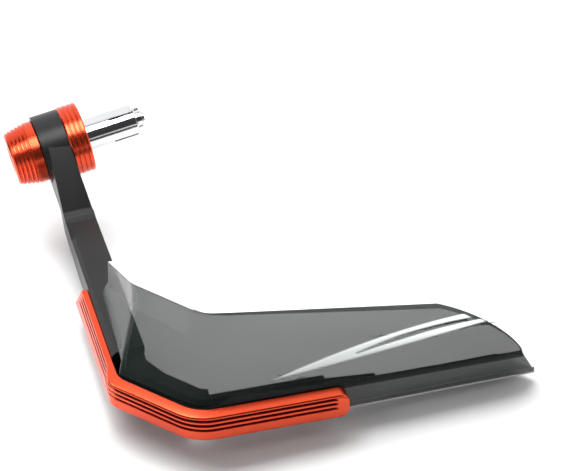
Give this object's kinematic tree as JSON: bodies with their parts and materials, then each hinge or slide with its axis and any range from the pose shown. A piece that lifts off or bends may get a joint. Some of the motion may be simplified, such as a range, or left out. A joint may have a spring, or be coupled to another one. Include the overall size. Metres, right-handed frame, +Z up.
{
  "type": "motorcycle hand guard",
  "caption": "Bar-end mounted hand guard: ribbed end cap, ring and gooseneck arm, expander plug, smoked wrap-round shield and ribbed trim strip.",
  "frame": {"origin": "on the handlebar's axis, at the collar's seat for the bar end", "axes": "+X inboard across the motorcycle, +Y rearward to the rider, +Z up; the shield is at -Y. The bar axis rises 6.4 degrees inboard and sweeps back 2.5 degrees"},
  "size_m": [0.1896, 0.1909, 0.0614],
  "materials": {
    "orange_anodised": "orange anodised, satin",
    "bolt_steel": "zinc-plated steel",
    "black_nylon": "satin black, glass-filled nylon",
    "bright_chrome": "polished",
    "smoked_sheet": "smoked polycarbonate, glossy"
  },
  "bodies": {
    "root": {"end_cap": "orange_anodised", "main_bolt": "bolt_steel", "bolt_washer": "bolt_steel", "arm": "black_nylon", "collar": "orange_anodised", "expander_sleeve": "bright_chrome", "expander_wedge": "bright_chrome", "shield": "smoked_sheet", "trim": "orange_anodised", "arm_screw_rear": "bolt_steel", "arm_screw_front": "bolt_steel", "corner_screw": "bolt_steel", "trim_end_screw": "bolt_steel"}
  },
  "joints": []
}
